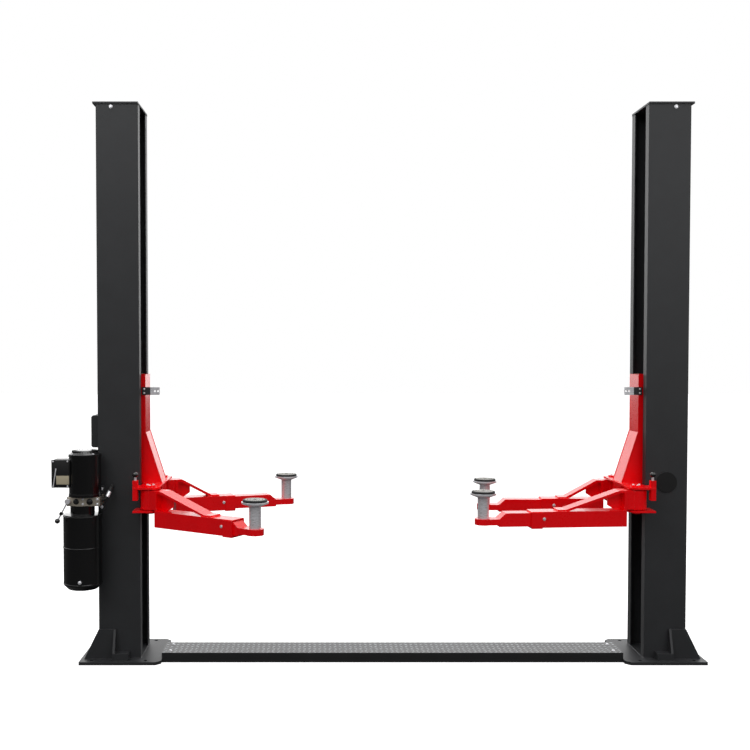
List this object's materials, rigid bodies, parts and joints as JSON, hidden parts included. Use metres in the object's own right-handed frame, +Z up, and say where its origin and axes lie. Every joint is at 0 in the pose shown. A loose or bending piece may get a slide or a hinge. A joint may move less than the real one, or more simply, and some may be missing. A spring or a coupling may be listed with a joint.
{
  "type": "two post car lift",
  "caption": "Two steel posts on anchored feet, with carriages that slide in them and swinging, telescopic arms with screw pads, a floor cover between and a hydraulic power unit.",
  "frame": {"origin": "centre of the main post's foot anchor pattern, on the floor", "axes": "+X towards the other post, +Y away from the viewer, +Z up"},
  "size_m": [3.279, 1.1124, 2.83],
  "materials": {
    "post_paint": "fine textured black powder coat",
    "arm_paint": "gloss red powder coat",
    "cylinder_paint": "satin black paint",
    "hard_chrome": "ground hard chrome",
    "zinc_plate": "bright zinc plate",
    "slider_nylon": "natural nylon",
    "pad_rubber": "moulded black rubber",
    "black_plastic": "moulded black plastic",
    "unit_paint": "gloss black enamel",
    "cast_aluminium": "cast and machined aluminium"
  },
  "bodies": {
    "frame": {"left_post": "post_paint", "left_cap": "post_paint", "left_foot": "post_paint", "left_cylinder": "cylinder_paint", "right_post": "post_paint", "right_cap": "post_paint", "right_foot": "post_paint", "right_cylinder": "cylinder_paint", "floor_cover": "post_paint", "port_plug": "black_plastic", "unit_bracket": "post_paint", "motor": "unit_paint", "oil_tank": "unit_paint", "manifold": "cast_aluminium", "terminal_box": "black_plastic", "latch_hatch": "post_paint"},
    "left_carriage": {"left_carriage": "arm_paint", "left_sliders": "slider_nylon", "left_pivot_pins": "zinc_plate", "left_strap": "post_paint", "left_striker": "zinc_plate"},
    "left_rod": {"left_piston_rod": "hard_chrome"},
    "right_carriage": {"right_carriage": "arm_paint", "right_sliders": "slider_nylon", "right_pivot_pins": "zinc_plate", "right_strap": "post_paint", "right_striker": "zinc_plate"},
    "right_rod": {"right_piston_rod": "hard_chrome"},
    "left_front_arm": {"left_front_arm": "arm_paint"},
    "left_front_slide": {"left_front_slide": "arm_paint", "left_front_sleeve": "zinc_plate"},
    "left_front_pad": {"left_front_screw_pad": "zinc_plate", "left_front_rubber": "pad_rubber"},
    "left_front_latch_pin": {"left_front_latch_pin": "zinc_plate"},
    "left_rear_arm": {"left_rear_arm": "arm_paint"},
    "left_rear_slide": {"left_rear_slide": "arm_paint", "left_rear_sleeve": "zinc_plate"},
    "left_rear_pad": {"left_rear_screw_pad": "zinc_plate", "left_rear_rubber": "pad_rubber"},
    "left_rear_latch_pin": {"left_rear_latch_pin": "zinc_plate"},
    "right_front_arm": {"right_front_arm": "arm_paint"},
    "right_front_slide": {"right_front_slide": "arm_paint", "right_front_sleeve": "zinc_plate"},
    "right_front_pad": {"right_front_screw_pad": "zinc_plate", "right_front_rubber": "pad_rubber"},
    "right_front_latch_pin": {"right_front_latch_pin": "zinc_plate"},
    "right_rear_arm": {"right_rear_arm": "arm_paint"},
    "right_rear_slide": {"right_rear_slide": "arm_paint", "right_rear_sleeve": "zinc_plate"},
    "right_rear_pad": {"right_rear_screw_pad": "zinc_plate", "right_rear_rubber": "pad_rubber"},
    "right_rear_latch_pin": {"right_rear_latch_pin": "zinc_plate"},
    "release_lever": {"release_lever": "zinc_plate"}
  },
  "joints": [
    {"name": "left_lift", "type": "slide", "parent": "frame", "child": "left_carriage", "axis": [0, 0, 1], "range_m": [-0.64, 1]},
    {"name": "left_rod_lift", "type": "slide", "parent": "frame", "child": "left_rod", "axis": [0, 0, 1], "range_m": [-0.32, 0.5]},
    {"name": "right_lift", "type": "slide", "parent": "frame", "child": "right_carriage", "axis": [0, 0, 1], "range_m": [-0.64, 1]},
    {"name": "right_rod_lift", "type": "slide", "parent": "frame", "child": "right_rod", "axis": [0, 0, 1], "range_m": [-0.32, 0.5]},
    {"name": "left_front_swing", "type": "hinge", "parent": "left_carriage", "child": "left_front_arm", "pos_m": [0.168, -0.2, 0.84], "axis": [0, 0, -1], "range_deg": [-40.8, 57.2]},
    {"name": "left_front_reach", "type": "slide", "parent": "left_front_arm", "child": "left_front_slide", "axis": [0.8406, -0.5417, 0], "range_m": [-0.02, 0.29]},
    {"name": "left_front_screw", "type": "slide", "parent": "left_front_slide", "child": "left_front_pad", "axis": [0, 0, 1], "range_m": [0, 0.06]},
    {"name": "left_front_latch", "type": "slide", "parent": "left_carriage", "child": "left_front_latch_pin", "axis": [0, 0, 1], "range_m": [0, 0.02]},
    {"name": "left_rear_swing", "type": "hinge", "parent": "left_carriage", "child": "left_rear_arm", "pos_m": [0.168, 0.2, 0.84], "axis": [0, 0, 1], "range_deg": [-27.3, 70.7]},
    {"name": "left_rear_reach", "type": "slide", "parent": "left_rear_arm", "child": "left_rear_slide", "axis": [0.9438, 0.3305, 0], "range_m": [-0.23, 0.01]},
    {"name": "left_rear_screw", "type": "slide", "parent": "left_rear_slide", "child": "left_rear_pad", "axis": [0, 0, 1], "range_m": [0, 0.06]},
    {"name": "left_rear_latch", "type": "slide", "parent": "left_carriage", "child": "left_rear_latch_pin", "axis": [0, 0, 1], "range_m": [0, 0.02]},
    {"name": "right_front_swing", "type": "hinge", "parent": "right_carriage", "child": "right_front_arm", "pos_m": [2.607, -0.2, 0.84], "axis": [0, 0, 1], "range_deg": [-12.7, 85.3]},
    {"name": "right_front_reach", "type": "slide", "parent": "right_front_arm", "child": "right_front_slide", "axis": [-0.9966, -0.0819, 0], "range_m": [-0.155, 0.16]},
    {"name": "right_front_screw", "type": "slide", "parent": "right_front_slide", "child": "right_front_pad", "axis": [0, 0, 1], "range_m": [0, 0.06]},
    {"name": "right_front_latch", "type": "slide", "parent": "right_carriage", "child": "right_front_latch_pin", "axis": [0, 0, 1], "range_m": [0, 0.02]},
    {"name": "right_rear_swing", "type": "hinge", "parent": "right_carriage", "child": "right_rear_arm", "pos_m": [2.607, 0.2, 0.84], "axis": [0, 0, -1], "range_deg": [-9.5, 88.5]},
    {"name": "right_rear_reach", "type": "slide", "parent": "right_rear_arm", "child": "right_rear_slide", "axis": [-0.9997, 0.0262, 0], "range_m": [-0.22, 0.02]},
    {"name": "right_rear_screw", "type": "slide", "parent": "right_rear_slide", "child": "right_rear_pad", "axis": [0, 0, 1], "range_m": [0, 0.06]},
    {"name": "right_rear_latch", "type": "slide", "parent": "right_carriage", "child": "right_rear_latch_pin", "axis": [0, 0, 1], "range_m": [0, 0.02]},
    {"name": "release", "type": "hinge", "parent": "frame", "child": "release_lever", "pos_m": [-0.228, -0.2773, 0.838], "axis": [0, 1, 0], "range_deg": [0, 25]}
  ],
  "couplings": [
    {"joint": "right_lift", "follows": "left_lift", "ratio": 1},
    {"joint": "left_rod_lift", "follows": "left_lift", "ratio": 0.5},
    {"joint": "right_rod_lift", "follows": "left_lift", "ratio": 0.5}
  ]
}
